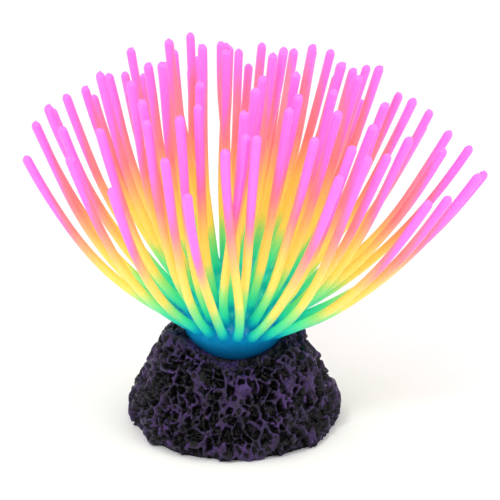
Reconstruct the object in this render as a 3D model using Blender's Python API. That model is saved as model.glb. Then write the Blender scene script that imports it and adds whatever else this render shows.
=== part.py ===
"""An artificial sea anemone for an aquarium: one soft silicone moulding in a cast lava-look base.

The base is a rough, broad-footed lump with a crater in its top. The silicone foot sits in the
crater as a bowl, and its top is set all over with long round tentacles, in rings. The moulding
is parted by thin cuts into the foot, twelve outer groups of tentacles, six middle groups and
the inner group, each with the piece of the dome that its tentacles grow from.

Metres, +Z up. The origin is the middle of the flat underside. Places round the axis are in
degrees: 0 is the front (-Y) and 90 the right (+X). Leans are degrees from the fan's axis.
"""

import math
import random

import bmesh
import bpy
from mathutils import Matrix, Vector

MM = 0.001
GAP = 0.3 * MM

# The silicone dome, and the fan of tentacles that stands on it.
DOME_CENTRE = Vector((0, 0, 34 * MM))
DOME_RADIUS = 15.5 * MM
CORE_RADIUS = 9 * MM
FAN_TILT = 5.0
FAN_OVAL = 0.20
FOOT_EDGE = 106
OUTER_EDGE = 70.5
MIDDLE_EDGE = 36.5
FOOT_TUCK = 150
PLUG_LENGTH = 20 * MM

# The tentacles.
TENTACLE_RADIUS = 1.4 * MM
TENTACLE_REACH = 83 * MM
REACH_SPREAD = 3 * MM
LEAN_SPREAD = 3.5
PLACE_SPREAD = 0.33
ROOT_DEPTH = 2.5 * MM
ROOT_LEAN_SHARE = 0.70
TIP_LEAN_SHARE = 0.55
BEND = 0.36
# How far along a tentacle its sections stand, and how full each of them is.
SECTIONS = ((0.1, 1.0), (0.34, 1.0), (0.66, 0.97), (0.985, 0.93), (1.0, 0.55))
# Each ring: how many, the angle down the dome where they root, how far the tips lean, the place
# of the first one, and the seed of the ring's small irregularities.
RINGS = {
    "rim": (24, 96, 52, 4, 1829),
    "second": (24, 79, 41.5, 4, 3072),
    "third": (18, 62, 32, 15, 2941),
    "fourth": (12, 45, 24.5, 20, 791),
    "fifth": (7, 28, 15, 43, 2790),
    "crown": (3, 10, 5, 34, 1074),
}
# The few that stray from their ring: the lean and place of their tips.
STRAYS = {
    ("rim", 0): (37, -9),
    ("rim", 2): (40, 34),
    ("rim", 7): (50, 98),
    ("rim", 21): (50, -37),
    ("rim", 23): (48, -16),
    ("second", 19): (44, -68),
    ("second", 22): (32, -28),
    ("second", 23): (34, -3),
}
OUTER_GROUPS = 12
MIDDLE_GROUPS = 6

# The cast base.
BASE_SIDES = 32
BASE_TOP = 29.5 * MM
# The rim dips at the front, and has one higher lump at the left.
FRONT_DIP = 4.0 * MM
RIM_LUMP = 1.5 * MM
RIM_LUMP_PLACE = -72
# Its outline from the foot up and over into the crater: height as a share of the top, and radius.
BASE_OUTLINE = (
    (0.0, 29.4 * MM),
    (0.06, 31.0 * MM),
    (0.2, 31.4 * MM),
    (0.36, 29.0 * MM),
    (0.53, 26.4 * MM),
    (0.7, 24.2 * MM),
    (0.86, 22.4 * MM),
    (0.97, 20.2 * MM),
    (1.0, 17.6 * MM),
    (0.94, 14.8 * MM),
    (0.84, 10.0 * MM),
)
BASE_LUMPS = 1.1 * MM
BASE_GRAIN = 0.6 * MM
BASE_SEED = 7
# Waves that make the base lumpy: waves round it, waves up it, and where they start in degrees.
BASE_WAVES = ((3, 0.0, 70), (5, 1.0, 200), (8, 2.0, 20))

OBJECT_COLLECTION = "artificial_sea_anemone"
CUTTER_COLLECTION = "cutters"


def clear_scene():
    for obj in list(bpy.data.objects):
        bpy.data.objects.remove(obj, do_unlink=True)


def collection(name):
    made = bpy.data.collections.new(name)
    bpy.context.scene.collection.children.link(made)
    return made


def material(name, colour, roughness):
    made = bpy.data.materials.new(name)
    made.use_nodes = True
    made.diffuse_color = (*colour, 1)
    shader = made.node_tree.nodes["Principled BSDF"]
    shader.inputs["Base Color"].default_value = (*colour, 1)
    shader.inputs["Roughness"].default_value = roughness
    shader.inputs["Metallic"].default_value = 0
    return made


def direction(lean, place):
    """The unit direction at this lean and place, about the fan's own upright axis."""
    down = math.radians(lean)
    turn = math.radians(place)
    return Vector(
        (
            math.sin(down) * math.sin(turn),
            -math.sin(down) * math.cos(turn),
            math.cos(down),
        )
    )


def fan_matrix():
    """Sets a shape made about the fan's centre and axis into the object, with the fan's tilt."""
    tilt = Matrix.Rotation(math.radians(FAN_TILT), 4, "Y")
    return Matrix.Translation(DOME_CENTRE) @ tilt


def object_of(shape, name, group, finish):
    """An object of this bmesh, its faces pointing out and its round sides shaded smooth."""
    bmesh.ops.recalc_face_normals(shape, faces=shape.faces)
    mesh = bpy.data.meshes.new(name)
    shape.to_mesh(mesh)
    shape.free()
    mesh.shade_smooth()
    mesh.set_sharp_from_angle(angle=math.radians(40))
    made = bpy.data.objects.new(name, mesh)
    made.data.materials.append(finish)
    group.objects.link(made)
    return made


def set_as_cutter(obj):
    obj.hide_render = True
    obj.display_type = "WIRE"


def add_boolean(obj, other, operation):
    modifier = obj.modifiers.new(operation.lower(), "BOOLEAN")
    modifier.operation = operation
    modifier.solver = "EXACT"
    modifier.object = other


def arc(radius, start, end, steps):
    """Points (radius from the axis, height) on a circle about the fan's centre."""
    angles = [math.radians(start + (end - start) * i / steps) for i in range(steps + 1)]
    return [(radius * math.sin(angle), radius * math.cos(angle)) for angle in angles]


def wedge(profile, start, sweep, steps):
    """A closed profile of (radius, height) points swept through part of a turn."""
    shape = bmesh.new()
    turn = Matrix.Rotation(math.radians(start), 3, "Z")
    corners = [shape.verts.new(turn @ Vector((0, -radius, height))) for radius, height in profile]
    face = shape.faces.new(corners)
    bmesh.ops.spin(
        shape,
        geom=[face, *face.edges, *face.verts],
        cent=(0, 0, 0),
        axis=(0, 0, 1),
        angle=math.radians(sweep),
        steps=steps,
    )
    return shape


def turned(profile, steps):
    """A closed shape turned from a profile of (radius, height) points, from axis to axis."""
    shape = bmesh.new()
    points = [shape.verts.new((0, -radius, height)) for radius, height in profile]
    edges = [shape.edges.new(pair) for pair in zip(points, points[1:])]
    bmesh.ops.spin(
        shape,
        geom=[*points, *edges],
        cent=(0, 0, 0),
        axis=(0, 0, 1),
        angle=math.tau,
        steps=steps,
        use_merge=True,
    )
    bmesh.ops.remove_doubles(shape, verts=shape.verts, dist=0.01 * MM)
    return shape


def oval(place):
    """How far the fan opens at a place: full at its sides, less at its front and back."""
    return 1 - FAN_OVAL * math.cos(math.radians(place)) ** 2


def ring_tentacles(ring):
    """Each tentacle's root angle and place, its tip's lean and place, and its reach."""
    count, root_angle, ring_lean, first_place, seed = RINGS[ring]
    chance = random.Random(seed)
    made = []
    for index in range(count):
        root_place = first_place + 360 * index / count
        place_shift = chance.uniform(-1, 1) * PLACE_SPREAD * 360 / count
        lean_shift = chance.uniform(-1, 1) * LEAN_SPREAD
        reach = TENTACLE_REACH + chance.uniform(-1, 1) * REACH_SPREAD
        lean = ring_lean * oval(root_place) + lean_shift
        place = root_place + place_shift
        lean, place = STRAYS.get((ring, index), (lean, place))
        made.append((root_angle, root_place, lean, place, reach))
    return made


def tentacle_points(root_angle, root_place, lean, place, reach):
    """The centre line's points and how full it is at each, about the fan's centre and axis."""
    outward = direction(root_angle, root_place)
    root = outward * DOME_RADIUS
    tip = direction(lean, place) * reach
    handle = (tip - root).length * BEND
    leave = root + direction(root_angle * ROOT_LEAN_SHARE * oval(root_place), root_place) * handle
    arrive = tip - direction(lean * TIP_LEAN_SHARE, place) * handle
    points = [(outward * (DOME_RADIUS - ROOT_DEPTH), 1.0)]
    for along, full in SECTIONS:
        back = 1 - along
        point = (
            root * back**3
            + leave * (3 * back * back * along)
            + arrive * (3 * back * along * along)
            + tip * along**3
        )
        points.append((point, full))
    return points


def tentacle_mesh(name, tentacles, group, finish):
    """One mesh of several tentacles: curves with a round bevel, made solid and welded."""
    data = bpy.data.curves.new(name + "_line", "CURVE")
    data.dimensions = "3D"
    data.bevel_depth = TENTACLE_RADIUS
    data.bevel_resolution = 1
    data.use_fill_caps = True
    for tentacle in tentacles:
        points = tentacle_points(*tentacle)
        spline = data.splines.new("POLY")
        spline.points.add(len(points) - 1)
        for target, (point, full) in zip(spline.points, points):
            target.co = (*point, 1)
            target.radius = full
    line = bpy.data.objects.new(name + "_line", data)
    bpy.context.scene.collection.objects.link(line)
    bpy.context.view_layer.update()
    evaluated = line.evaluated_get(bpy.context.evaluated_depsgraph_get())
    shape = bmesh.new()
    shape.from_mesh(bpy.data.meshes.new_from_object(evaluated))
    bpy.data.objects.remove(line, do_unlink=True)
    bmesh.ops.remove_doubles(shape, verts=shape.verts, dist=0.01 * MM)
    made = object_of(shape, name + "_tentacles", group, finish)
    made.matrix_world = fan_matrix()
    set_as_cutter(made)
    return made


def crown_group(name, cell, tentacles, collections, finish):
    """A piece of the dome with the tentacles that grow from it, joined into one solid."""
    parts, cutters = collections
    made = object_of(cell, name, parts, finish)
    made.matrix_world = fan_matrix()
    add_boolean(made, tentacle_mesh(name, tentacles, cutters, finish), "UNION")


def cell_profile(top, bottom, steps):
    """The section of a piece of the dome between two angles down from the fan's axis."""
    half_gap = math.degrees(GAP / 2 / CORE_RADIUS)
    outside = arc(DOME_RADIUS, top + half_gap, bottom - half_gap, steps)
    inside = arc(CORE_RADIUS + GAP, bottom - half_gap, top + half_gap, 2)
    return outside + inside


def crown_wedge(index, groups, first_place, edges, steps):
    """One of the like pieces that a band of the dome is parted into."""
    top, bottom = edges
    half_gap = math.degrees(GAP / 2 / (CORE_RADIUS * math.sin(math.radians(top))))
    share = 360 / groups
    start = first_place + share * index + half_gap
    return wedge(cell_profile(top, bottom, 3), start, share - 2 * half_gap, steps)


def make_outer_groups(collections, finish):
    rim = ring_tentacles("rim")
    second = ring_tentacles("second")
    each = len(rim) // OUTER_GROUPS
    first_place = RINGS["rim"][3] - 180 / len(rim)
    for index in range(OUTER_GROUPS):
        members = slice(index * each, (index + 1) * each)
        cell = crown_wedge(index, OUTER_GROUPS, first_place, (OUTER_EDGE, FOOT_EDGE), 2)
        name = f"outer_tentacles_{index + 1:02d}"
        crown_group(name, cell, rim[members] + second[members], collections, finish)


def make_middle_groups(collections, finish):
    third = ring_tentacles("third")
    fourth = ring_tentacles("fourth")
    first_place = RINGS["third"][3] - 180 / len(third)
    in_third = len(third) // MIDDLE_GROUPS
    in_fourth = len(fourth) // MIDDLE_GROUPS
    for index in range(MIDDLE_GROUPS):
        members = third[index * in_third : (index + 1) * in_third]
        members += fourth[index * in_fourth : (index + 1) * in_fourth]
        cell = crown_wedge(index, MIDDLE_GROUPS, first_place, (MIDDLE_EDGE, OUTER_EDGE), 4)
        crown_group(f"middle_tentacles_{index + 1}", cell, members, collections, finish)


def make_inner_group(collections, finish):
    half_gap = math.degrees(GAP / 2 / CORE_RADIUS)
    profile = arc(DOME_RADIUS, 0, MIDDLE_EDGE - half_gap, 3)
    profile += arc(CORE_RADIUS + GAP, MIDDLE_EDGE - half_gap, 0, 2)
    members = ring_tentacles("fifth") + ring_tentacles("crown")
    crown_group("inner_tentacles", turned(profile, 20), members, collections, finish)


def foot_profile(clearance):
    """The foot from the top of its core, out to the bowl, and down its plug to the plug's end."""
    tuck = arc(DOME_RADIUS + clearance, FOOT_EDGE, FOOT_TUCK, 4)
    plug_radius = tuck[-1][0]
    end = -PLUG_LENGTH - clearance
    return [*arc(CORE_RADIUS, 0, FOOT_EDGE, 4), *tuck, (plug_radius, end), (0, end)]


def make_foot(parts, finish):
    foot = object_of(turned(foot_profile(0), 24), "silicone_foot", parts, finish)
    foot.matrix_world = fan_matrix()


def make_socket_cutter(cutters, finish):
    """The foot's own shape, a gap larger, which leaves the socket that the foot sits in."""
    socket = object_of(turned(foot_profile(GAP), 24), "foot_socket", cutters, finish)
    socket.matrix_world = fan_matrix()
    set_as_cutter(socket)
    return socket


def base_wave(place, height):
    """A smooth unevenness between about -1 and 1."""
    total = 0
    for around, upward, start in BASE_WAVES:
        total += math.sin(math.radians(around * place + start) + upward * math.tau * height)
    return total / len(BASE_WAVES)


def rim_height(place):
    dip = max(0, math.cos(math.radians(place))) ** 2
    lump = max(0, math.cos(math.radians(place - RIM_LUMP_PLACE))) ** 6
    return BASE_TOP - FRONT_DIP * dip + RIM_LUMP * lump


def make_base(parts, cutters, finish):
    """Rings of points loft the lump from its flat underside, over the rim and into the crater."""
    chance = random.Random(BASE_SEED)
    shape = bmesh.new()
    rings = []
    for share, radius in BASE_OUTLINE:
        ring = []
        for side in range(BASE_SIDES):
            place = 360 * side / BASE_SIDES
            out = radius + base_wave(place, share) * BASE_LUMPS
            out += chance.uniform(-1, 1) * BASE_GRAIN
            rise = chance.uniform(-1, 1) * BASE_GRAIN * (share > 0)
            point = direction(90, place) * out
            point.z = share * rim_height(place) + rise
            ring.append(shape.verts.new(point))
        rings.append(ring)
    for lower, upper in zip(rings, rings[1:]):
        for side in range(BASE_SIDES):
            following = (side + 1) % BASE_SIDES
            shape.faces.new((lower[side], lower[following], upper[following], upper[side]))
    shape.faces.new(rings[0])
    shape.faces.new(rings[-1])
    base = object_of(shape, "rock_base", parts, finish)
    add_boolean(base, make_socket_cutter(cutters, finish), "DIFFERENCE")


def main():
    clear_scene()
    parts = collection(OBJECT_COLLECTION)
    cutters = collection(CUTTER_COLLECTION)
    resin = material("lava-look cast resin", (0.012, 0.007, 0.02), 0.55)
    blue = material("blue silicone", (0.0, 0.14, 0.35), 0.35)
    rose = material("rose silicone", (1.0, 0.16, 0.55), 0.35)
    apricot = material("apricot silicone", (1.0, 0.45, 0.12), 0.35)
    lime = material("lime silicone", (0.25, 0.75, 0.25), 0.35)
    make_base(parts, cutters, resin)
    make_foot(parts, blue)
    make_outer_groups((parts, cutters), rose)
    make_middle_groups((parts, cutters), apricot)
    make_inner_group((parts, cutters), lime)


main()
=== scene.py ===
"""The looks of an artificial sea anemone ornament: a silicone moulding in a cast lava-look base.

Metres, +Z up, in the CAD model's own frame. Places round the axis are in degrees: 0 is the
front (-Y) and 90 the right (+X). Leans are degrees from the fan's axis.
"""

import math
import random

import bmesh
import bpy
import numpy as np
from mathutils import Matrix, Vector, noise
from mathutils.kdtree import KDTree


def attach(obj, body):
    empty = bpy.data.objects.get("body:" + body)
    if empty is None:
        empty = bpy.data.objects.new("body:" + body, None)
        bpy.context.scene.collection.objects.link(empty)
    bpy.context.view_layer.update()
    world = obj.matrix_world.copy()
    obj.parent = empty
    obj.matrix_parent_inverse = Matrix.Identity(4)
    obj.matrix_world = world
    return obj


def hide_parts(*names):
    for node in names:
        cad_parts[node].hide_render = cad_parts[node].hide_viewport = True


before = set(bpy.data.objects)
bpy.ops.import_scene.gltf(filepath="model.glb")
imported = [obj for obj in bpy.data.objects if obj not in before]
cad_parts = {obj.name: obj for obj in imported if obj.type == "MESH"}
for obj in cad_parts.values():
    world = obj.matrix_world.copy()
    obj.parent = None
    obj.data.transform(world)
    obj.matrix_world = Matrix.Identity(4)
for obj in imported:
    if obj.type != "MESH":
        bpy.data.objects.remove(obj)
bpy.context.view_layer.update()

bl_info = {
    "name": "Artificial Sea Anemone Ornament",
    "version": (1, 0, 0),
    "blender": (4, 5, 0),
    "location": "View3D > Sidebar > Anemone",
    "description": "Moulds a silicone sea anemone and casts its lava-look base",
    "category": "Add Mesh",
}

MM = 0.001
SILICONE_NODES = [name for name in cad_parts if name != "rock_base"]

# The dome and the fan of tentacles, as the CAD model sets them out.
DOME_CENTRE = Vector((0, 0, 34 * MM))
DOME_RADIUS = 15.5 * MM
FAN_TILT = 5.0
FAN_OVAL = 0.20
TENTACLE_REACH = 83 * MM
REACH_SPREAD = 3 * MM
LEAN_SPREAD = 3.5
PLACE_SPREAD = 0.33
ROOT_LEAN_SHARE = 0.70
TIP_LEAN_SHARE = 0.55
BEND = 0.36
# Each ring: how many, the angle down the dome where they root, how far the tips lean, the place
# of the first one, and the seed of the ring's small irregularities.
RINGS = {
    "rim": (24, 96, 52, 4, 1829),
    "second": (24, 79, 41.5, 4, 3072),
    "third": (18, 62, 32, 15, 2941),
    "fourth": (12, 45, 24.5, 20, 791),
    "fifth": (7, 28, 15, 43, 2790),
    "crown": (3, 10, 5, 34, 1074),
}
# The few that stray from their ring: the lean and place of their tips.
STRAYS = {
    ("rim", 0): (37, -9),
    ("rim", 2): (40, 34),
    ("rim", 7): (50, 98),
    ("rim", 21): (50, -37),
    ("rim", 23): (48, -16),
    ("second", 19): (44, -68),
    ("second", 22): (32, -28),
    ("second", 23): (34, -3),
}

# How a tentacle is moulded.
TUBE_SIDES = 14
TUBE_RINGS = 40
RINGS_TOWARD_ENDS = 0.16
ROOT_DEPTH = 2.2 * MM
FLARE_LENGTH = 1.5 * MM
TIP_ROUNDING = 1.6 * MM
TIP_STEPS = (0.0, 0.12, 0.3, 0.55, 0.78, 0.93)
TIP_END_SHARE = 0.3
# The body's last ring stands this many tip roundings from the end, clear of the rounding's own.
BODY_END = 1.3
# How far a centre line strays, and over how many waves.
WAVER = 0.22 * MM
WAVER_WAVES = 1.6
# The thickness against the tentacle's radius: at its ends, how much slimmer its middle is, and
# the share and length of the small unevenness.
END_FULLNESS = 1.05
SLIMMER_MIDDLE = 0.07
UNEVEN_SHARE = 0.02
UNEVEN_LENGTH = 5 * MM
# The nib stands on this ring, counted from the tip, and leans outward by this share of a radius.
NIB_RING = -3
NIB_OUTWARD = 0.15

# How finely the dome is moulded, and how its creases are rounded.
DOME_SEGMENTS = 120
DOME_RINGS = 64
TOO_SHORT = 0.01 * MM
CREASE_DEPTH = 1.5 * MM
FILLET_REACH = 4.4 * MM
FILLET_PASSES = 8
FILLET_STRENGTH = 0.5

# The run of colours is stored from 0 to 1: its first part is the bare foot, the rest the share
# of a tentacle's length from its root.
FOOT_SHARE = 0.1
# The dome top's place in the run of colours: a lighter teal, painted light for the shaded gaps
# between the roots.
DOME_TOP_PAINTED_LIGHT = 0.06
# Heights on the dome, as the upward part of its normal: where the foot starts to darken and over
# how much more it goes dark, and where the top's lighter teal, painted light for the shaded gaps
# between the roots, starts and is full.
FOOT_DARKENS = 0.2
FOOT_DARK_RANGE = 0.7
PAINTED_TOP_STARTS = -0.05
PAINTED_TOP_FULL = 0.6
# How far above the dome its colours give way to the tentacle's own.
BLEND_HEIGHT = 2 * MM
# How much sooner the colours change toward the crown, and how much that differs from one
# tentacle to the next.
CROWN_HURRY = 0.25
SHADE_SPREAD = 0.08
MOULDED_STOPS = (
    (-0.10, "foot_dark"),
    (-0.05, "foot_blue"),
    (-0.02, "waist_blue"),
    (0.00, "root_blue"),
    (0.03, "teal"),
    (0.07, "sea_green"),
    (0.14, "green"),
    (0.23, "lime"),
    (0.31, "yellow"),
    (0.45, "amber"),
    (0.55, "peach"),
    (0.65, "salmon"),
    (1.00, "rose"),
)
# Where the sprayed magenta starts and is full, how much further down it reaches on the side that
# faces out, and how much that differs from one tentacle to the next.
SPRAY_START = 0.62
SPRAY_FULL = 0.86
SPRAY_OUTWARD = 0.13
SPRAY_SPREAD = 0.06
SPRAY_STOPS = ((0.0, "spray_thin"), (0.45, "spray_middle"), (1.0, "spray_full"))

# The skin's map for the bake: a strip for each tentacle, in two rows, above a round patch.
STRIP_ROWS = 2
STRIP_BOTTOM = 0.175
STRIP_HEIGHT = 0.41
STRIP_EDGE = 0.11
STRIP_MARGIN = 0.02
STRIP_FILL = 0.97
PATCH_CENTRE = Vector((0.085, 0.085))
PATCH_RADIUS = 0.08
PATCH_HEIGHT = 0.6 * MM

# The cast base, as the CAD model sets it out.
BASE_TOP = 29.5 * MM
FRONT_DIP = 4.0 * MM
RIM_LUMP = 1.5 * MM
RIM_LUMP_PLACE = -72
RIM_LUMP_SHARPNESS = 6
# The base's outside: share of the rim's height, and radius. The last is the rim's own crest.
BASE_OUTLINE = (
    (0.0, 29.4 * MM),
    (0.06, 31.0 * MM),
    (0.2, 31.4 * MM),
    (0.36, 29.0 * MM),
    (0.53, 26.4 * MM),
    (0.7, 24.2 * MM),
    (0.86, 22.4 * MM),
    (0.97, 20.2 * MM),
    (1.0, 17.6 * MM),
)
BASE_LUMPS = 1.1 * MM
# Round the base: how many waves, how they lean as they rise, and where they start.
BASE_WAVES = ((3, 0.0, 70), (5, 1.0, 200), (8, 2.0, 20))
SOCKET_RADIUS = DOME_RADIUS + 0.25 * MM
LIP_DROP = 1.2 * MM

# How finely it is cast: columns round it, rows up its wall and rows down its socket. The relief
# is held back over the first and last rows, and stands proud of the CAD's lump lower down.
BASE_COLUMNS = 600
WALL_ROWS = 132
SOCKET_ROWS = 14
PROFILE_SMOOTHING = 7
HELD_AT_FOOT = (-1, 3)
HELD_AT_LIP = (WALL_ROWS - 8, WALL_ROWS - 1)
PROUD = 0.9 * MM
PROUD_FADES = (WALL_ROWS * 0.6, WALL_ROWS * 0.85)
FLOOR_GAP = 0.15 * MM
# The lava: broad knolls, and cells that a slow warp pulls out of shape and that stand upright.
KNOLL_SIZE = 7 * MM
KNOLL_HEIGHT = 0.9 * MM
WARP_SIZE = 5 * MM
WARP = 1.3 * MM
CELL_STRETCH = 0.75
SMALL_OFFSET = Vector((0.3, 0.1, 0.2))
CELL_NUMBER_STEP = 5.3
# Where a cavity's and a ridge's edges run, in from the edge of its cell, as shares of a cell.
CAVITY_EDGE = (0.02, 0.3)
RIDGE_EDGE = (0.03, 0.16)
RIDGE_THICKENS = 0.45
# The web is thicker in patches of this size.
PATCH_SIZE = 7 * MM
PATCH_OFFSET = Vector((4, 9, 2))
# The web round a pit or a pore: its least width, what its own number adds, what a thick patch
# adds, and the width of the wall that falls from it.
PIT_RIM = (0.04, 0.16, 0.34)
PIT_WALL = 0.14
PORE_RIM = (0.03, 0.17, 0.22)
PORE_WALL = 0.16
# How much of the paint a pore takes away, and the web where nothing shows.
PORE_UNPAINTS = 0.85
HIDDEN_WEB = 0.5

# The base's map for the bake: the wall in two half-round bands, under the underside as a disc.
BAND_EDGE = 0.01
BAND_STEP = 0.42
BAND_HEIGHT = 0.4
DISC_CENTRE = Vector((0.08, 0.92))
DISC_SCALE = 2.0

# The sizes of the finishes' own patterns. The silicone's is the faint unevenness of its skin. The
# resin's are the patches that the brush missed, and its sandy grain, drawn at 0.9 mm so that it
# shows, where the real one is finer.
SKIN_GRAIN = 1.6 * MM
BRUSH_PATCH = 7 * MM
SAND_GRAIN = 0.9 * MM

# The colour sockets of a Mix node, which share their names with its other kinds.
MIX_A = 6
MIX_B = 7
MIX_RESULT = 2

CAMERA_TARGET = Vector((4.6 * MM, 0, 54 * MM))
CAMERA_DISTANCE = 0.65
CAMERA_ELEVATION = 19.5
CAMERA_LENS = 159.1
CAMERA_SENSOR = 36
# The soft lights: name, place, size across, and share of the key's power.
LIGHTS = (
    ("key", Vector((-0.35, -0.6, 0.75)), 0.22, 1.0),
    ("fill", Vector((0.6, -0.4, 0.5)), 0.6, 0.5),
)
LIGHTS_AIM = Vector((0, 0, 50 * MM))


def linear(hex_colour):
    """An sRGB hex colour as linear red, green, blue and a full alpha."""
    channels = [int(hex_colour[i : i + 2], 16) / 255 for i in (1, 3, 5)]
    values = [c / 12.92 if c <= 0.04045 else ((c + 0.055) / 1.055) ** 2.4 for c in channels]
    return (*values, 1.0)


def colour_setting(name, description, hex_colour):
    return bpy.props.FloatVectorProperty(
        name=name,
        description=description,
        default=linear(hex_colour),
        subtype="COLOR",
        size=4,
        min=0,
        max=1,
    )


def size_setting(name, description, default):
    return bpy.props.FloatProperty(
        name=name, description=description, default=default, unit="LENGTH", precision=5, min=0
    )


class AnemoneSettings(bpy.types.PropertyGroup):
    tentacle_radius: size_setting(
        "Tentacle radius", "Half the thickness of a tentacle along most of its length", 1.3 * MM
    )
    root_flare: bpy.props.FloatProperty(
        name="Root flare",
        description="How much thicker a tentacle is where it leaves the dome, as a share",
        default=0.65,
        min=0,
    )
    moulding_nib: size_setting(
        "Moulding nib", "How far the little nib stands off a tentacle's tip", 0.45 * MM
    )
    seed: bpy.props.IntProperty(
        name="Seed", description="Picks the small unevenness of the tentacles", default=5
    )
    foot_dark: colour_setting("Foot, lowest", "The foot deep in the crater", "#00345C")
    foot_blue: colour_setting("Foot", "The bare foot above the crater", "#005284")
    waist_blue: colour_setting("Waist", "The foot under the first roots", "#006898")
    root_blue: colour_setting("Root", "A tentacle's very root", "#008ABE")
    teal: colour_setting("Teal", "Just above a root", "#06B6C6")
    sea_green: colour_setting("Sea green", "A little above a root", "#2CDEBC")
    green: colour_setting("Green", "The first seventh of a tentacle", "#58E6A6")
    lime: colour_setting("Lime", "The first fifth of a tentacle", "#A2E586")
    yellow: colour_setting("Yellow", "The first third of a tentacle", "#F6DD68")
    amber: colour_setting("Amber", "Below the middle of a tentacle", "#FCD263")
    peach: colour_setting("Peach", "Above the middle of a tentacle", "#FCAE76")
    salmon: colour_setting("Salmon", "Two thirds up a tentacle", "#FC868A")
    rose: colour_setting("Rose", "The silicone of the tips, under the spray", "#FC8EAB")
    spray_thin: colour_setting("Spray, thin", "Where the spray fades out", "#FC7292")
    spray_middle: colour_setting("Spray, middle", "Where half the spray lies", "#FC6EAD")
    spray_full: colour_setting("Spray, full", "The sprayed tips", "#FC70D8")


class BaseSettings(bpy.types.PropertyGroup):
    cavity_size: size_setting("Cavity size", "How far apart the broad hollows lie", 7.5 * MM)
    cavity_depth: size_setting("Cavity depth", "How deep the broad hollows are", 1.2 * MM)
    pit_size: size_setting("Pit size", "How far apart the large pits lie", 3.1 * MM)
    pit_depth: size_setting("Pit depth", "How deep the large pits are", 1.6 * MM)
    pore_size: size_setting("Pore size", "How far apart the small pits lie", 1.8 * MM)
    pore_depth: size_setting("Pore depth", "How deep the small pits are", 0.8 * MM)
    seed: bpy.props.IntProperty(
        name="Seed", description="Picks how the pits are pulled out of shape", default=3, min=1
    )
    # The resin at the pits' bottoms, darker than the same resin on their walls: painted shade in
    # the recesses.
    pit_shade_black: colour_setting("Pits", "The resin at the bottom of the pits", "#060506")
    resin_black: colour_setting("Resin", "The resin on the walls of the pits", "#0E0B12")
    worn_grey: colour_setting("Worn web", "The raised web where little paint took", "#282034")
    brushed_dark: colour_setting("Thin paint", "The web's sides, where the brush grazed", "#2A1C3C")
    brushed_purple: colour_setting("Purple paint", "The web's crests, dry-brushed", "#4C306E")


class StageSettings(bpy.types.PropertyGroup):
    floor_width: size_setting("Floor width", "How wide the plain floor is", 8.0)
    floor_colour: colour_setting("Floor", "The plain floor", "#F8F8F8")
    ambient: bpy.props.FloatProperty(
        name="Ambient light",
        description="How bright the white surroundings are",
        default=1.02,
        min=0,
    )
    key_power: bpy.props.FloatProperty(
        name="Key light", description="The power of the main light", default=2.8, unit="POWER"
    )


def add_node(tree, kind, settings=None, links=None):
    """Adds a node with these properties or socket values, and links from sockets into it."""
    made = tree.nodes.new(kind)
    for name, value in (settings or {}).items():
        if name in made.inputs:
            made.inputs[name].default_value = value
        else:
            setattr(made, name, value)
    for socket, source in (links or {}).items():
        tree.links.new(source, made.inputs[socket])
    return made


def fill_ramp(ramp_node, stops):
    """Sets a colour ramp's stops, each a position and a colour."""
    ramp = ramp_node.color_ramp
    ramp.elements.remove(ramp.elements[-1])
    ramp.elements[0].position = stops[0][0]
    ramp.elements[0].color = stops[0][1]
    for position, colour in stops[1:]:
        ramp.elements.new(position).color = colour


def new_material(name):
    material = bpy.data.materials.new(name)
    material.use_nodes = True
    material.node_tree.nodes.clear()
    return material, material.node_tree


def finish_material(tree, settings, links):
    shader = add_node(tree, "ShaderNodeBsdfPrincipled", settings, links)
    add_node(tree, "ShaderNodeOutputMaterial", links={"Surface": shader.outputs["BSDF"]})


def smoothstep(low, high, value):
    share = np.clip((value - low) / (high - low), 0, 1)
    return share * share * (3 - 2 * share)


def new_object(name, mesh):
    made = bpy.data.objects.new(name, mesh)
    bpy.context.scene.collection.objects.link(made)
    return made


def finish_shape(obj, material):
    obj.data.materials.clear()
    obj.data.materials.append(material)
    obj.data.shade_smooth()


def direction(lean, place):
    """The unit direction at this lean and place, about the fan's own upright axis."""
    down = math.radians(lean)
    turn = math.radians(place)
    return Vector(
        (
            math.sin(down) * math.sin(turn),
            -math.sin(down) * math.cos(turn),
            math.cos(down),
        )
    )


def fan_matrix():
    """Sets a shape made about the fan's centre and axis into the object, with the fan's tilt."""
    tilt = Matrix.Rotation(math.radians(FAN_TILT), 4, "Y")
    return Matrix.Translation(DOME_CENTRE) @ tilt


def oval(place):
    """How far the fan opens at a place: full at its sides, less at its front and back."""
    return 1 - FAN_OVAL * math.cos(math.radians(place)) ** 2


def ring_tentacles(ring):
    """Each tentacle's root angle and place, its tip's lean and place, and its reach."""
    count, root_angle, ring_lean, first_place, seed = RINGS[ring]
    chance = random.Random(seed)
    made = []
    for index in range(count):
        root_place = first_place + 360 * index / count
        place_shift = chance.uniform(-1, 1) * PLACE_SPREAD * 360 / count
        lean_shift = chance.uniform(-1, 1) * LEAN_SPREAD
        reach = TENTACLE_REACH + chance.uniform(-1, 1) * REACH_SPREAD
        lean = ring_lean * oval(root_place) + lean_shift
        place = root_place + place_shift
        lean, place = STRAYS.get((ring, index), (lean, place))
        made.append((root_angle, root_place, lean, place, reach))
    return made


def centre_line(tentacle, shares):
    """Points of a tentacle's centre line at these shares of it, set into the object."""
    root_angle, root_place, lean, place, reach = tentacle
    root = direction(root_angle, root_place) * DOME_RADIUS
    tip = direction(lean, place) * reach
    handle = (tip - root).length * BEND
    leave = root + direction(root_angle * ROOT_LEAN_SHARE * oval(root_place), root_place) * handle
    arrive = tip - direction(lean * TIP_LEAN_SHARE, place) * handle
    matrix = fan_matrix()
    corners = np.array([matrix @ corner for corner in (root, leave, arrive, tip)])
    along = np.asarray(shares)[:, None]
    back = 1 - along
    return (
        corners[0] * back**3
        + corners[1] * 3 * back**2 * along
        + corners[2] * 3 * back * along**2
        + corners[3] * along**3
    )


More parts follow.
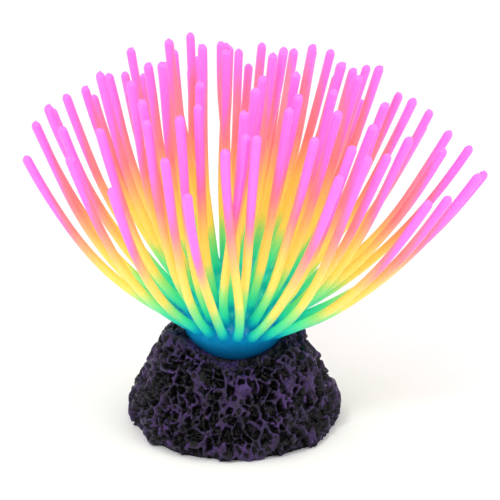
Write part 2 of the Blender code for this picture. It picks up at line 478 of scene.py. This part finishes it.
class Tentacle:
    """One tentacle's centre line, from inside the dome to its tip, with its thickness along it."""

    def __init__(self, tentacle, settings, chance):
        even = np.linspace(0, 1, TUBE_RINGS)
        shares = even - RINGS_TOWARD_ENDS * np.sin(math.tau * even) / math.tau
        line = centre_line(tentacle, shares)
        line = line + self.waver(line, chance)
        inside = Vector(line[0]) - DOME_CENTRE
        inside = DOME_CENTRE + inside * (1 - ROOT_DEPTH / DOME_RADIUS)
        tangent = line[-1] - line[-2]
        tangent /= np.linalg.norm(tangent)
        ends = [line[-1] - tangent * TIP_ROUNDING * (1 - step) for step in TIP_STEPS]
        body = line[np.linalg.norm(line - line[-1], axis=1) > TIP_ROUNDING * BODY_END]
        self.points = np.array([inside, *body, *ends, line[-1]])
        steps = np.linalg.norm(np.diff(self.points[1:], axis=0), axis=1)
        self.lengths = np.concatenate([[-ROOT_DEPTH, 0.0], np.cumsum(steps)])
        self.length = self.lengths[-1]
        self.share = np.clip(self.lengths / self.length, 0, 1)
        self.radii = self.thickness(settings, chance)
        self.nib = settings.moulding_nib
        self.nib_side = chance.randrange(TUBE_SIDES)
        self.spray_shift = chance.uniform(-1, 1) * SPRAY_SPREAD
        inner = 1 - tentacle[0] / RINGS["rim"][1]
        self.hurry = 1 - CROWN_HURRY * inner + chance.uniform(-1, 1) * SHADE_SPREAD

    def waver(self, line, chance):
        """A slow unevenness, none at the root and the tip."""
        along = np.linspace(0, 1, len(line))[:, None]
        push = np.array([chance.uniform(-1, 1) for _ in range(3)])
        start = chance.uniform(0, math.tau)
        wave = np.sin(along * WAVER_WAVES * math.tau + start)
        return push * WAVER * wave * np.sin(along * math.pi)

    def thickness(self, settings, chance):
        flare = settings.root_flare * np.exp(-np.maximum(self.lengths, 0) / FLARE_LENGTH)
        slender = END_FULLNESS - SLIMMER_MIDDLE * np.sin(self.share * math.pi)
        start = chance.uniform(0, math.tau)
        uneven = 1 + UNEVEN_SHARE * np.sin(self.lengths / UNEVEN_LENGTH + start)
        to_tip = np.clip((self.length - self.lengths) / TIP_ROUNDING, 0, 1)
        rounded = (1 - (1 - to_tip) ** 2) ** 0.5
        rounded = np.maximum(rounded, TIP_END_SHARE)
        return settings.tentacle_radius * (1 + flare) * slender * uneven * rounded

    def rings(self):
        """Rings of points round the centre line, carried along it without twist."""
        tangents = np.gradient(self.points, axis=0)
        tangents /= np.linalg.norm(tangents, axis=1, keepdims=True)
        turns = np.arange(TUBE_SIDES) * math.tau / TUBE_SIDES
        across = np.array((0.0, 1.0, 0.0))
        rings = []
        for point, tangent, radius in zip(self.points, tangents, self.radii):
            across = across - tangent * across.dot(tangent)
            across /= np.linalg.norm(across)
            beside = np.cross(tangent, across)
            spokes = np.outer(np.cos(turns), across) + np.outer(np.sin(turns), beside)
            rings.append(point + radius * spokes)
        rings = np.array(rings)
        outward = rings[NIB_RING, self.nib_side] - self.points[NIB_RING]
        rings[NIB_RING, self.nib_side] += tangents[-1] * self.nib + outward * NIB_OUTWARD
        return rings


def tube_mesh(name, tentacles):
    """All tentacles as one mesh of closed tubes."""
    points = []
    faces = []
    for tentacle in tentacles:
        rings = tentacle.rings()
        first = len(points)
        points.extend(rings.reshape(-1, 3))
        for ring in range(len(rings) - 1):
            for side in range(TUBE_SIDES):
                here = first + ring * TUBE_SIDES
                following = (side + 1) % TUBE_SIDES
                above = here + TUBE_SIDES
                faces.append((here + side, here + following, above + following, above + side))
        last = first + (len(rings) - 1) * TUBE_SIDES
        faces.append([first + side for side in reversed(range(TUBE_SIDES))])
        faces.append([last + side for side in range(TUBE_SIDES)])
    mesh = bpy.data.meshes.new(name)
    mesh.from_pydata([tuple(point) for point in points], [], faces)
    mesh.update()
    return mesh


def dome_mesh(name):
    shape = bmesh.new()
    bmesh.ops.create_uvsphere(
        shape, u_segments=DOME_SEGMENTS, v_segments=DOME_RINGS, radius=DOME_RADIUS
    )
    shape.transform(fan_matrix())
    mesh = bpy.data.meshes.new(name)
    shape.to_mesh(mesh)
    shape.free()
    return mesh


def join_to(first, second):
    """Makes the first closed object its union with the second, which goes."""
    modifier = first.modifiers.new("join", "BOOLEAN")
    modifier.operation = "UNION"
    modifier.solver = "MANIFOLD"
    modifier.object = second
    bpy.context.view_layer.update()
    evaluated = first.evaluated_get(bpy.context.evaluated_depsgraph_get())
    mesh = bpy.data.meshes.new_from_object(evaluated)
    first.modifiers.clear()
    old = first.data
    first.data = mesh
    bpy.data.meshes.remove(old)
    bpy.data.objects.remove(second, do_unlink=True)


class LineFinder:
    """Finds the tentacle and the place along it that a point of the skin belongs to."""

    def __init__(self, tentacles):
        self.tentacles = tentacles
        self.samples = []
        for index, tentacle in enumerate(tentacles):
            self.samples += [(index, place) for place in range(1, len(tentacle.points))]
        self.tree = KDTree(len(self.samples))
        for number, (index, place) in enumerate(self.samples):
            self.tree.insert(tentacles[index].points[place], number)
        self.tree.balance()

    def find(self, point):
        """(tentacle's index, length from its root, direction outward from its centre line)."""
        _, number, _ = self.tree.find(point)
        index, place = self.samples[number]
        line = self.tentacles[index].points
        lengths = self.tentacles[index].lengths
        best = None
        for start in (place - 1, place):
            if not 1 <= start < len(line) - 1:
                continue
            step = line[start + 1] - line[start]
            share = float(np.clip(np.dot(point - line[start], step) / step.dot(step), 0, 1))
            foot = line[start] + share * step
            off = point - foot
            if best is None or off.dot(off) < best[0]:
                along = lengths[start] + share * (lengths[start + 1] - lengths[start])
                best = (off.dot(off), along, off)
        return index, best[1], best[2]


def soften_roots(mesh, tentacles):
    """Rounds the crease where each tentacle leaves the dome."""
    roots = KDTree(len(tentacles))
    for index, tentacle in enumerate(tentacles):
        roots.insert(tentacle.points[1], index)
    roots.balance()
    shape = bmesh.new()
    shape.from_mesh(mesh)
    bmesh.ops.dissolve_degenerate(shape, edges=shape.edges, dist=TOO_SHORT)
    # A point with only two edges would leave a thin fin when its faces are cut into triangles.
    spare = [vertex for vertex in shape.verts if len(vertex.link_edges) == 2]
    bmesh.ops.dissolve_verts(shape, verts=spare)
    near = []
    for vertex in shape.verts:
        height = (vertex.co - DOME_CENTRE).length - DOME_RADIUS
        if abs(height) < CREASE_DEPTH and roots.find(vertex.co)[2] < FILLET_REACH:
            near.append(vertex)
    for _ in range(FILLET_PASSES):
        bmesh.ops.smooth_vert(
            shape,
            verts=near,
            factor=FILLET_STRENGTH,
            use_axis_x=True,
            use_axis_y=True,
            use_axis_z=True,
        )
    bmesh.ops.recalc_face_normals(shape, faces=shape.faces)
    shape.to_mesh(mesh)
    shape.free()


def dome_colour(point):
    """The dome's place in the run of colours: painted-light teal on top, blue at its waist, dark at
    its foot.
    """
    upward = (point - DOME_CENTRE).normalized().z
    down = float(np.clip((-upward - FOOT_DARKENS) / FOOT_DARK_RANGE, 0, 1))
    # The lighter top is painted light, standing in for light in the shaded gaps between the roots.
    top = float(smoothstep(PAINTED_TOP_STARTS, PAINTED_TOP_FULL, upward))
    return DOME_TOP_PAINTED_LIGHT * top - FOOT_SHARE * down


def colour_skin(mesh, tentacles):
    """Stores where each point lies along its tentacle, and how much magenta was sprayed on it."""
    finder = LineFinder(tentacles)
    along = np.zeros(len(mesh.vertices), np.float32)
    spray = np.zeros(len(mesh.vertices), np.float32)
    belongs = []
    for vertex in mesh.vertices:
        point = np.array(vertex.co)
        height = (vertex.co - DOME_CENTRE).length - DOME_RADIUS
        index, length, off = finder.find(point)
        tentacle = tentacles[index]
        outward = np.array(vertex.co - DOME_CENTRE)
        outward[2] = 0
        outward /= max(np.linalg.norm(outward), 1e-6)
        facing = float(np.dot(off / max(np.linalg.norm(off), 1e-9), outward))
        share = length / tentacle.length
        rise = float(smoothstep(0, BLEND_HEIGHT, height))
        colour = share**tentacle.hurry if share > 0 else 0.0
        colour = rise * colour + (1 - rise) * dome_colour(vertex.co)
        along[vertex.index] = (colour + FOOT_SHARE) / (1 + FOOT_SHARE)
        reached = share + SPRAY_OUTWARD * facing + tentacle.spray_shift
        spray[vertex.index] = smoothstep(SPRAY_START, SPRAY_FULL, reached)
        belongs.append((index, length, off, height))
    for name, values in (("along", along), ("spray", spray)):
        attribute = mesh.attributes.new(name, "FLOAT", "POINT")
        attribute.data.foreach_set("value", values)
    return belongs


def dome_patch(point):
    """A point of the dome on the round patch, its top in the middle."""
    ray = (point - DOME_CENTRE).normalized()
    spread = math.acos(max(-1, min(1, ray.z))) / math.pi * PATCH_RADIUS
    turn = math.atan2(ray.x, -ray.y)
    return PATCH_CENTRE + Vector((math.sin(turn), math.cos(turn))) * spread


def lay_out_skin(mesh, tentacles, belongs):
    layer = mesh.uv_layers.new(name="OFBake")
    in_row = math.ceil(len(tentacles) / STRIP_ROWS)
    for polygon in mesh.polygons:
        corners = [belongs[index] for index in polygon.vertices]
        if min(corner[3] for corner in corners) < PATCH_HEIGHT:
            for vertex, loop in zip(polygon.vertices, polygon.loop_indices):
                layer.data[loop].uv = dome_patch(mesh.vertices[vertex].co)
            continue
        index = corners[0][0]
        row, column = divmod(index, in_row)
        first = None
        for (_, length, off, _), loop in zip(corners, polygon.loop_indices):
            turn = math.atan2(off[0], -off[1]) / math.tau + 0.5
            first = turn if first is None else first
            turn += round(first - turn)
            across = STRIP_EDGE + (1 - 2 * STRIP_EDGE) * turn
            across = min(max(across, STRIP_MARGIN), 1 - STRIP_MARGIN)
            up = STRIP_FILL * length / tentacles[index].length
            layer.data[loop].uv = (
                (column + across) / in_row,
                STRIP_BOTTOM + (row + up) * STRIP_HEIGHT,
            )


def silicone_material(settings):
    """Moulded silicone, pigmented in bands in the mould and sprayed magenta from outside.

    It gives soft, waxy colour with light inside it, broad dim highlights and no grain. It glows
    faintly in its own colour: painted light that keeps the shaded depths between the tentacles
    bright.
    """
    material, tree = new_material("moulded silicone")
    along = add_node(tree, "ShaderNodeAttribute", {"attribute_name": "along"})
    spray = add_node(tree, "ShaderNodeAttribute", {"attribute_name": "spray"})
    pigment = add_node(tree, "ShaderNodeValToRGB", links={"Fac": along.outputs["Fac"]})
    stops = [
        ((share + FOOT_SHARE) / (1 + FOOT_SHARE), getattr(settings, name))
        for share, name in MOULDED_STOPS
    ]
    fill_ramp(pigment, stops)
    magenta = add_node(tree, "ShaderNodeValToRGB", links={"Fac": spray.outputs["Fac"]})
    fill_ramp(magenta, [(share, getattr(settings, name)) for share, name in SPRAY_STOPS])
    coated = add_node(
        tree,
        "ShaderNodeMix",
        {"data_type": "RGBA"},
        {
            "Factor": spray.outputs["Fac"],
            MIX_A: pigment.outputs["Color"],
            MIX_B: magenta.outputs["Color"],
        },
    )
    place = add_node(tree, "ShaderNodeTexCoord")
    grain = add_node(
        tree,
        "ShaderNodeTexNoise",
        {"Scale": 1 / SKIN_GRAIN, "Detail": 3.0},
        {"Vector": place.outputs["Object"]},
    )
    bump = add_node(
        tree,
        "ShaderNodeBump",
        {"Strength": 0.12, "Distance": 0.1 * MM},
        {"Height": grain.outputs["Fac"]},
    )
    finish_material(
        tree,
        {
            "Roughness": 0.36,
            "IOR": 1.41,
            "Coat Weight": 0.25,
            "Coat Roughness": 0.15,
            "Subsurface Weight": 0.35,
            "Subsurface Radius": (1.0, 0.6, 0.6),
            "Subsurface Scale": 1.2 * MM,
            # A faint glow in the silicone's own colour: painted light for the shaded depths between
            # the tentacles.
            "Emission Strength": 0.15,
        },
        {
            "Base Color": coated.outputs[MIX_RESULT],
            "Emission Color": coated.outputs[MIX_RESULT],
            "Normal": bump.outputs["Normal"],
        },
    )
    return material


def make_skin(settings):
    chance = random.Random(settings.seed)
    tentacles = []
    for ring in RINGS:
        for tentacle in ring_tentacles(ring):
            tentacles.append(Tentacle(tentacle, settings, chance))
    skin = new_object("silicone_anemone", dome_mesh("silicone_anemone"))
    tubes = new_object("tubes", tube_mesh("tubes", tentacles))
    join_to(skin, tubes)
    soften_roots(skin.data, tentacles)
    belongs = colour_skin(skin.data, tentacles)
    lay_out_skin(skin.data, tentacles, belongs)
    finish_shape(skin, silicone_material(settings))
    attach(skin, "root")
    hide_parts(*SILICONE_NODES)


def base_wave(place, height):
    """Long undulations round the base, from -1 to 1."""
    total = 0
    for around, upward, start in BASE_WAVES:
        total += math.sin(math.radians(around * place + start) + upward * math.tau * height)
    return total / len(BASE_WAVES)


def rim_height(place):
    dip = max(0, math.cos(math.radians(place))) ** 2
    lump = max(0, math.cos(math.radians(place - RIM_LUMP_PLACE))) ** RIM_LUMP_SHARPNESS
    return BASE_TOP - FRONT_DIP * dip + RIM_LUMP * lump


def base_column(place):
    """Points up the base's outside at a place, over its rim and down the socket to its pole."""
    rim = rim_height(place)
    corners = [
        (radius + base_wave(place, share) * BASE_LUMPS, share * rim)
        for share, radius in BASE_OUTLINE
    ]
    steepest = math.acos((rim - LIP_DROP - DOME_CENTRE.z) / SOCKET_RADIUS)
    angles = np.linspace(steepest, math.pi, SOCKET_ROWS + 1)
    socket = [
        (SOCKET_RADIUS * math.sin(angle), DOME_CENTRE.z + SOCKET_RADIUS * math.cos(angle))
        for angle in angles
    ]
    wall = np.array([*corners, socket[0]])
    lengths = np.concatenate([[0], np.cumsum(np.linalg.norm(np.diff(wall, axis=0), axis=1))])
    even = np.linspace(0, lengths[-1], WALL_ROWS)
    profile = np.stack([np.interp(even, lengths, wall[:, axis]) for axis in (0, 1)], axis=1)
    kernel = np.ones(PROFILE_SMOOTHING) / PROFILE_SMOOTHING
    half = PROFILE_SMOOTHING // 2
    padded = np.pad(profile, ((half, half), (0, 0)), mode="reflect", reflect_type="odd")
    smooth = [np.convolve(padded[:, axis], kernel, "valid") for axis in (0, 1)]
    profile = np.concatenate([np.stack(smooth, axis=1), socket[1:-1]])
    turn = math.radians(place)
    around = np.array((math.sin(turn), -math.cos(turn)))
    return np.column_stack([profile[:, :1] * around, profile[:, 1]])


def pits(point, size):
    """Voronoi cells of this size: the distance inward from a cell's edge, and its own number."""
    distances, centres = noise.voronoi(point / size)
    own = noise.noise(centres[0] * CELL_NUMBER_STEP) * 0.5 + 0.5
    return distances[1] - distances[0], own


def relief(point, settings):
    """How far the cast surface sinks at a point, and how much of a raised web is there."""
    warped = point + noise.noise_vector(point / WARP_SIZE) * WARP
    warped.z *= CELL_STRETCH
    cavity, _ = pits(warped, settings.cavity_size)
    hollow = float(smoothstep(*CAVITY_EDGE, cavity))
    patch = noise.noise(point / PATCH_SIZE + PATCH_OFFSET)
    thick = max(0, patch) + RIDGE_THICKENS * (1 - float(smoothstep(*RIDGE_EDGE, cavity)))
    edge, own = pits(warped, settings.pit_size)
    rim = PIT_RIM[0] + PIT_RIM[1] * own * own + PIT_RIM[2] * thick
    large = float(smoothstep(rim, rim + PIT_WALL, edge))
    edge, own = pits(warped + SMALL_OFFSET, settings.pore_size)
    rim = PORE_RIM[0] + PORE_RIM[1] * own + PORE_RIM[2] * thick
    small = float(smoothstep(rim, rim + PORE_WALL, edge))
    knoll = noise.fractal(point / KNOLL_SIZE, 1.0, 2.0, 3) * KNOLL_HEIGHT
    pitted = settings.pit_depth * large + settings.pore_depth * small
    web = (1 - large) * (1 - PORE_UNPAINTS * small)
    return pitted + settings.cavity_depth * hollow - knoll, web


def cast_points(settings):
    """The base's points, column by column, with the raised web's share at each."""
    places = np.arange(BASE_COLUMNS) * 360 / BASE_COLUMNS
    points = np.array([base_column(place) for place in places])
    around = np.roll(points, -1, axis=0) - np.roll(points, 1, axis=0)
    upward = np.gradient(points, axis=1)
    normals = np.cross(around, upward)
    normals /= np.linalg.norm(normals, axis=2, keepdims=True)
    web = np.zeros(points.shape[:2])
    sinks = np.zeros(points.shape[:2])
    for column in range(points.shape[0]):
        for row in range(WALL_ROWS):
            point = Vector(points[column, row])
            sinks[column, row], web[column, row] = relief(point, settings)
    rows = np.arange(points.shape[1])
    hold = smoothstep(*HELD_AT_FOOT, rows) * (1 - smoothstep(*HELD_AT_LIP, rows))
    proud = PROUD * (1 - smoothstep(*PROUD_FADES, rows))
    points -= normals * ((sinks - proud) * hold)[:, :, None]
    points[:, 1:, 2] = np.maximum(points[:, 1:, 2], FLOOR_GAP)
    points[:, 0, 2] = 0
    return points, web


def base_mesh(name, settings):
    points, web = cast_points(settings)
    columns, rows = web.shape
    corners = points.reshape(-1, 3)
    underside = len(corners)
    pole = underside + 1
    socket_floor = (0, 0, DOME_CENTRE.z - SOCKET_RADIUS)
    faces = []
    for column in range(columns):
        here = column * rows
        beside = (column + 1) % columns * rows
        for row in range(rows - 1):
            faces.append((here + row, beside + row, beside + row + 1, here + row + 1))
        faces.append((beside, here, underside))
        faces.append((here + rows - 1, beside + rows - 1, pole))
    mesh = bpy.data.meshes.new(name)
    mesh.from_pydata([*map(tuple, corners), (0, 0, 0), socket_floor], [], faces)
    attribute = mesh.attributes.new("web", "FLOAT", "POINT")
    attribute.data.foreach_set("value", [*web.ravel(), HIDDEN_WEB, HIDDEN_WEB])
    lay_out_base(mesh, columns, rows)
    mesh.update()
    return mesh


def lay_out_base(mesh, columns, rows):
    layer = mesh.uv_layers.new(name="OFBake")
    half = columns // 2
    underside = columns * rows
    for polygon in mesh.polygons:
        vertices = list(polygon.vertices)
        if vertices[-1] == underside:
            for vertex, loop in zip(vertices, polygon.loop_indices):
                layer.data[loop].uv = DISC_CENTRE + mesh.vertices[vertex].co.xy * DISC_SCALE
            continue
        ring = [vertex // rows for vertex in vertices if vertex < underside]
        first = min(ring) if max(ring) - min(ring) < 2 else max(ring)
        band = first // half
        for vertex, loop in zip(vertices, polygon.loop_indices):
            column, row = divmod(vertex, rows)
            if vertex > underside:
                column, row = first, rows
            elif column < first:
                column += columns
            layer.data[loop].uv = (
                BAND_EDGE + (1 - 2 * BAND_EDGE) * (column - band * half) / half,
                BAND_EDGE + BAND_STEP * band + BAND_HEIGHT * row / rows,
            )


def resin_material(settings):
    """Black cast polyresin, its raised web dry-brushed purple, under a thin clear lacquer.

    It gives near-black pits, darkest at their bottoms as painted shade, a dull purple net on what
    stands proud, and small wet glints.
    """
    material, tree = new_material("cast polyresin, dry-brushed")
    web = add_node(tree, "ShaderNodeAttribute", {"attribute_name": "web"})
    place = add_node(tree, "ShaderNodeTexCoord")
    blotch = add_node(
        tree,
        "ShaderNodeTexNoise",
        {"Scale": 1 / BRUSH_PATCH, "Detail": 3.0, "Roughness": 0.6},
        {"Vector": place.outputs["Object"]},
    )
    speck = add_node(
        tree,
        "ShaderNodeTexNoise",
        {"Scale": 1 / SAND_GRAIN, "Detail": 4.0, "Roughness": 0.7},
        {"Vector": place.outputs["Object"]},
    )
    painted = add_node(
        tree,
        "ShaderNodeMapRange",
        {"From Min": 0.38, "From Max": 0.64},
        {"Value": blotch.outputs["Fac"]},
    )
    scuffed = add_node(
        tree,
        "ShaderNodeMapRange",
        {"From Min": 0.3, "From Max": 0.7, "To Min": 0.55, "To Max": 1.1},
        {"Value": speck.outputs["Fac"]},
    )
    brushed = add_node(
        tree,
        "ShaderNodeMath",
        {"operation": "MULTIPLY"},
        {0: web.outputs["Fac"], 1: scuffed.outputs["Result"]},
    )
    paint = add_node(tree, "ShaderNodeValToRGB", links={"Fac": brushed.outputs["Value"]})
    # Darkest at the pits' bottoms as painted shade, then the bare resin, then the paint on the web.
    fill_ramp(
        paint,
        (
            (0.0, settings.pit_shade_black),
            (0.35, settings.resin_black),
            (0.65, settings.brushed_dark),
            (0.95, settings.brushed_purple),
        ),
    )
    bare = add_node(tree, "ShaderNodeValToRGB", links={"Fac": brushed.outputs["Value"]})
    # Darkest at the pits' bottoms as painted shade, then the bare resin, then the worn web.
    fill_ramp(
        bare,
        ((0.0, settings.pit_shade_black), (0.6, settings.resin_black), (1.0, settings.worn_grey)),
    )
    colour = add_node(
        tree,
        "ShaderNodeMix",
        {"data_type": "RGBA"},
        {
            "Factor": painted.outputs["Result"],
            MIX_A: bare.outputs["Color"],
            MIX_B: paint.outputs["Color"],
        },
    )
    gloss = add_node(
        tree,
        "ShaderNodeMapRange",
        {"From Min": 0.4, "From Max": 0.62, "To Min": 0.16, "To Max": 0.55},
        {"Value": speck.outputs["Fac"]},
    )
    bump = add_node(
        tree,
        "ShaderNodeBump",
        {"Strength": 0.8, "Distance": 0.25 * MM},
        {"Height": speck.outputs["Fac"]},
    )
    finish_material(
        tree,
        {"Specular IOR Level": 0.2},
        {
            "Base Color": colour.outputs[MIX_RESULT],
            "Roughness": gloss.outputs["Result"],
            "Normal": bump.outputs["Normal"],
        },
    )
    return material


def make_base(settings):
    # Without this, the warp's noise would be seeded by the clock.
    noise.seed_set(settings.seed)
    base = new_object("lava_base", base_mesh("lava_base", settings))
    finish_shape(base, resin_material(settings))
    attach(base, "root")
    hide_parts("rock_base")


def make_floor(settings):
    half = settings.floor_width / 2
    mesh = bpy.data.meshes.new("floor")
    corners = [(-half, -half, 0), (half, -half, 0), (half, half, 0), (-half, half, 0)]
    mesh.from_pydata(corners, [], [(0, 1, 2, 3)])
    floor = new_object("floor", mesh)
    # Matt paper: it gives an even pale ground with no shine.
    material, tree = new_material("matt white paper")
    finish_material(
        tree,
        {"Base Color": settings.floor_colour, "Roughness": 0.9, "Specular IOR Level": 0.1},
        {},
    )
    mesh.materials.append(material)


def light_stage(settings):
    world = bpy.data.worlds.new("white surroundings")
    world.use_nodes = True
    background = world.node_tree.nodes["Background"]
    background.inputs["Color"].default_value = (1, 1, 1, 1)
    background.inputs["Strength"].default_value = settings.ambient
    bpy.context.scene.world = world
    for name, place, size, share in LIGHTS:
        light = bpy.data.lights.new(name, "AREA")
        light.shape = "DISK"
        light.size = size
        light.energy = settings.key_power * share
        lamp = new_object(name, light)
        lamp.location = place
        lamp.rotation_euler = (LIGHTS_AIM - place).to_track_quat("-Z", "Y").to_euler()


def place_camera():
    lens = bpy.data.cameras.new("camera")
    lens.sensor_width = CAMERA_SENSOR
    lens.lens = CAMERA_LENS
    lens.clip_start = 10 * MM
    camera = new_object("camera", lens)
    rise = math.radians(CAMERA_ELEVATION)
    back = Vector((0, -math.cos(rise), math.sin(rise)))
    camera.location = CAMERA_TARGET + back * CAMERA_DISTANCE
    camera.rotation_euler = (-back).to_track_quat("-Z", "Y").to_euler()
    bpy.context.scene.camera = camera


class OBJECT_OT_mould_anemone(bpy.types.Operator):
    """Mould the foot, the dome and all the tentacles as one silicone skin"""

    bl_idname = "object.mould_anemone"
    bl_label = "Mould the anemone"

    def execute(self, context):
        make_skin(context.scene.anemone)
        return {"FINISHED"}


class OBJECT_OT_cast_base(bpy.types.Operator):
    """Cast the lava-look base with its crater"""

    bl_idname = "object.cast_lava_base"
    bl_label = "Cast the base"

    def execute(self, context):
        make_base(context.scene.lava_base)
        return {"FINISHED"}


class OBJECT_OT_set_stage(bpy.types.Operator):
    """Set the plain floor, the soft lights and the camera"""

    bl_idname = "object.set_anemone_stage"
    bl_label = "Set the stage"

    def execute(self, context):
        settings = context.scene.anemone_stage
        context.scene.view_settings.view_transform = "Standard"
        make_floor(settings)
        light_stage(settings)
        place_camera()
        return {"FINISHED"}


STEPS = (
    ("anemone", OBJECT_OT_mould_anemone),
    ("lava_base", OBJECT_OT_cast_base),
    ("anemone_stage", OBJECT_OT_set_stage),
)


class VIEW3D_PT_anemone(bpy.types.Panel):
    """Lists each piece's sizes and colours, with the button that makes it"""

    bl_idname = "VIEW3D_PT_anemone"
    bl_label = "Anemone"
    bl_space_type = "VIEW_3D"
    bl_region_type = "UI"
    bl_category = "Anemone"

    def draw(self, context):
        for group, step in STEPS:
            settings = getattr(context.scene, group)
            box = self.layout.box()
            for name in settings.__annotations__:
                box.prop(settings, name)
            box.operator(step.bl_idname)


GROUPS = {
    "anemone": AnemoneSettings,
    "lava_base": BaseSettings,
    "anemone_stage": StageSettings,
}
CLASSES = (*GROUPS.values(), *(step for _, step in STEPS), VIEW3D_PT_anemone)


def register():
    for kind in CLASSES:
        bpy.utils.register_class(kind)
    for name, group in GROUPS.items():
        setattr(bpy.types.Scene, name, bpy.props.PointerProperty(type=group))


def unregister():
    for name in GROUPS:
        delattr(bpy.types.Scene, name)
    for kind in reversed(CLASSES):
        bpy.utils.unregister_class(kind)


def main():
    register()
    bpy.ops.object.mould_anemone()
    bpy.ops.object.cast_lava_base()
    bpy.ops.object.set_anemone_stage()


if __name__ == "__main__":
    main()
